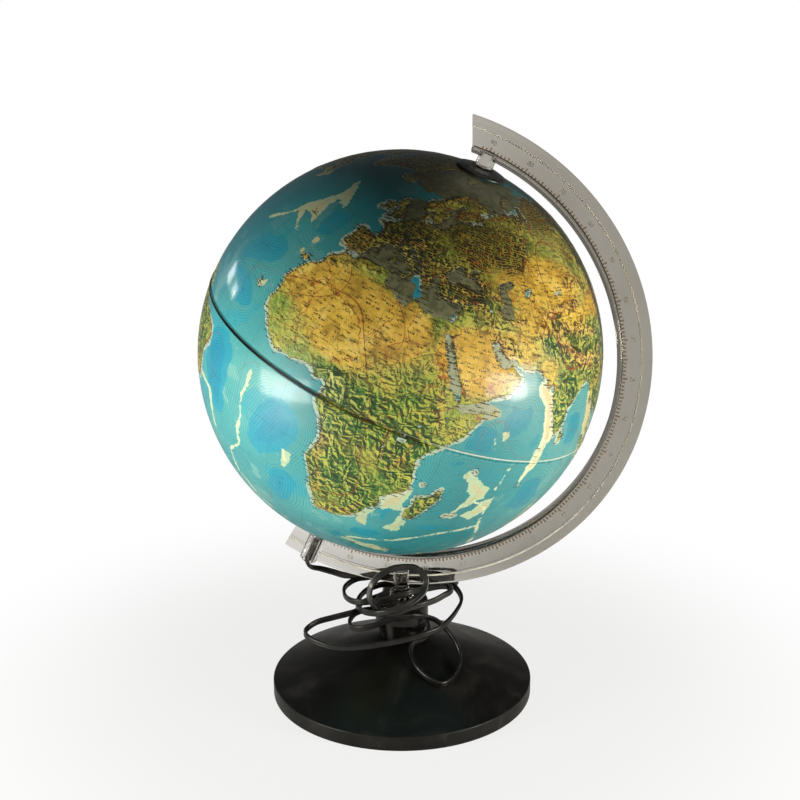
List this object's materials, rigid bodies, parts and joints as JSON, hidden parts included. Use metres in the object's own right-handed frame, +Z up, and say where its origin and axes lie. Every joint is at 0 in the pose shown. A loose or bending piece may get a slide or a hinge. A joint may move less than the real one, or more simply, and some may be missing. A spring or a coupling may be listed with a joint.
{
  "type": "desktop globe on stand",
  "caption": "Illuminated relief globe that spins on a tilted axis in a clear scaled meridian arm, on a clear foot, glossy stem and weighted round base, with its mains lead.",
  "frame": {"origin": "centre of the felt pad's underside, on the table", "axes": "+Z up, the meridian arm lies in the XZ plane and the north pole leans towards +X, +Y away from the side that shows the map's front"},
  "size_m": [0.3355, 0.3318, 0.4525],
  "materials": {
    "globe_map": "printed relief map under clear lacquer",
    "seam_tape": "printed tape",
    "inner_plastic": "moulded",
    "black_gloss": "polished, a little dusty",
    "zinc_steel": "zinc plated",
    "brass": "stamped",
    "nickel": "nickel plated",
    "opal_glass": "opal",
    "clear_acrylic": "clear moulded, polished",
    "cast_iron": "as cast",
    "dark_plastic": "fine texture",
    "rocker_plastic": "moulded",
    "flex": "satin flex sheath",
    "felt": "felt"
  },
  "bodies": {
    "stand": {"meridian_arm": "clear_acrylic", "clear_foot": "clear_acrylic", "stem": "black_gloss", "base_shell": "black_gloss", "ballast": "cast_iron", "bottom_plate": "dark_plastic", "felt_pad": "felt", "tie_screw": "zinc_steel", "tie_washer": "zinc_steel", "base_screw_1": "zinc_steel", "base_screw_2": "zinc_steel", "base_screw_3": "zinc_steel", "base_screw_4": "zinc_steel", "lamp_tube": "zinc_steel", "thrust_washer": "inner_plastic", "lamp_holder": "inner_plastic", "screw_contact": "brass", "bulb_cap": "nickel", "bulb_glass": "opal_glass", "inner_lead": "flex", "lead_lamp_side": "flex", "lead_plug_side": "flex", "switch_base": "dark_plastic", "switch_cover": "dark_plastic", "rocker_pin": "zinc_steel", "switch_screw_1": "zinc_steel", "switch_screw_2": "zinc_steel", "plug_body": "dark_plastic", "plug_pin_left": "nickel", "plug_pin_right": "nickel"},
    "globe": {"north_shell": "globe_map", "south_shell": "globe_map", "seam_tape": "seam_tape", "joint_ring": "inner_plastic", "north_cap": "black_gloss", "south_cap": "black_gloss", "north_retainer": "inner_plastic", "south_retainer": "inner_plastic"},
    "rocker": {"switch_rocker": "rocker_plastic"}
  },
  "joints": [
    {"name": "globe_spin", "type": "hinge", "parent": "stand", "child": "globe", "pos_m": [0, 0, 0.275], "axis": [0.3987, 0, 0.9171], "continuous": true},
    {"name": "switch_rock", "type": "hinge", "parent": "stand", "child": "rocker", "pos_m": [-0.01353, 0.06059, 0.0413], "axis": [0.976, 0.218, 0], "range_deg": [0, 16]}
  ]
}
